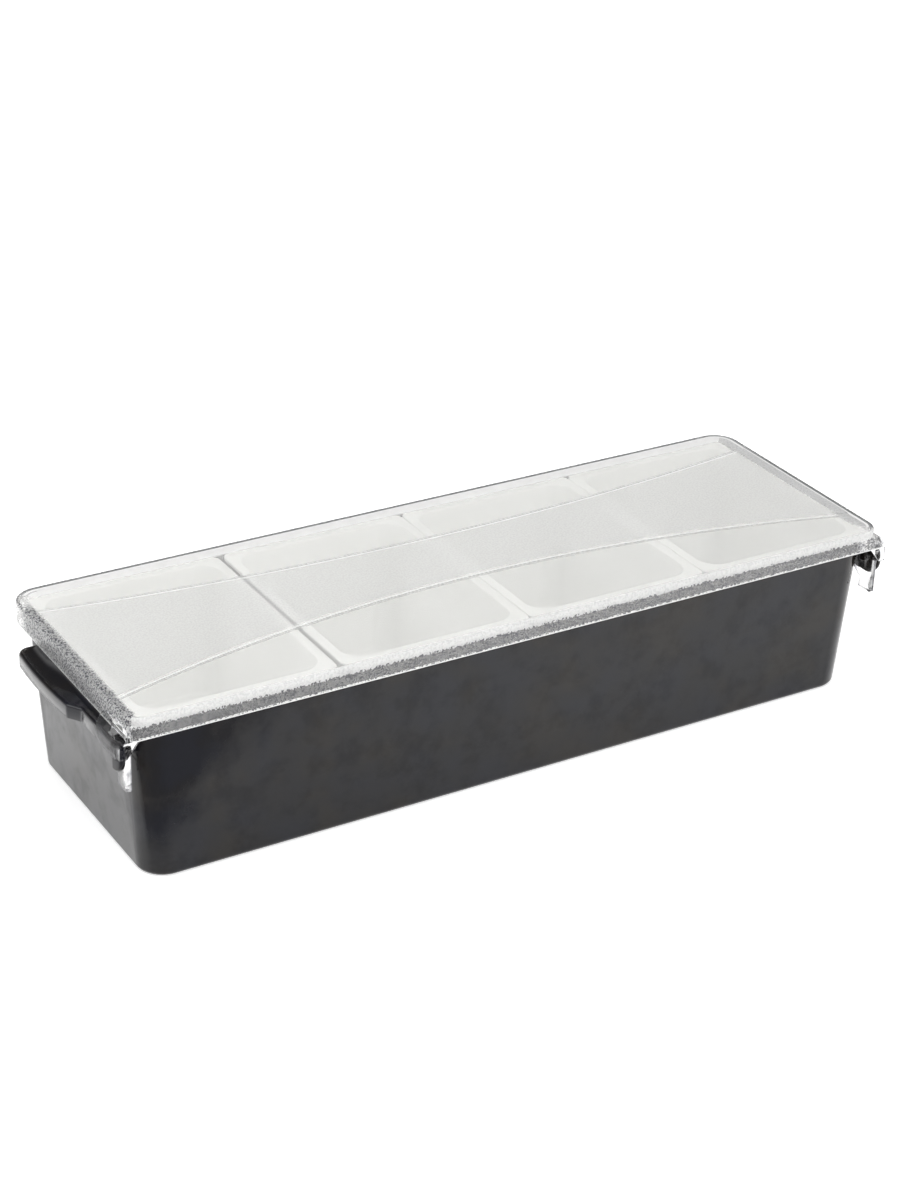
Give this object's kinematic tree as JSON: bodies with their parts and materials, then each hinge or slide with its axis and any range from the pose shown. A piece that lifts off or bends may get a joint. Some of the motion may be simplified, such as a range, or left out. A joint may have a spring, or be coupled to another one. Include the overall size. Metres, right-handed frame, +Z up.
{
  "type": "bar garnish tray",
  "caption": "Long black tub whose white lift-out inserts hang side by side under a clear hinged lid with a frosted band on top, with a ledge grip at each end",
  "frame": {"origin": "middle of the footprint of the whole tray, on the surface it stands on", "axes": "+X along the tray to its right-hand end as seen from the hinge side, +Y from the hinge side to the side the lid is lifted at, +Z up"},
  "size_m": [0.502, 0.1576, 0.1035],
  "materials": {
    "tub_black": "black moulded plastic, satin gloss",
    "lid_clear": "clear moulded plastic with a frosted band on top",
    "insert_white": "white moulded plastic, satin"
  },
  "bodies": {
    "tub": {"tub": "tub_black"},
    "lid": {"lid": "lid_clear"},
    "insert_1": {"insert_1": "insert_white"},
    "insert_2": {"insert_2": "insert_white"},
    "insert_3": {"insert_3": "insert_white"},
    "insert_4": {"insert_4": "insert_white"}
  },
  "joints": [
    {"name": "lid_hinge", "type": "hinge", "parent": "tub", "child": "lid", "pos_m": [0, -0.0675, 0.0805], "axis": [1, 0, 0], "range_deg": [0, 98]},
    {"name": "insert_1_lift", "type": "slide", "parent": "tub", "child": "insert_1", "axis": [0, 0, 1], "range_m": [0, 0.0018]},
    {"name": "insert_2_lift", "type": "slide", "parent": "tub", "child": "insert_2", "axis": [0, 0, 1], "range_m": [0, 0.0018]},
    {"name": "insert_3_lift", "type": "slide", "parent": "tub", "child": "insert_3", "axis": [0, 0, 1], "range_m": [0, 0.0018]},
    {"name": "insert_4_lift", "type": "slide", "parent": "tub", "child": "insert_4", "axis": [0, 0, 1], "range_m": [0, 0.0018]}
  ]
}
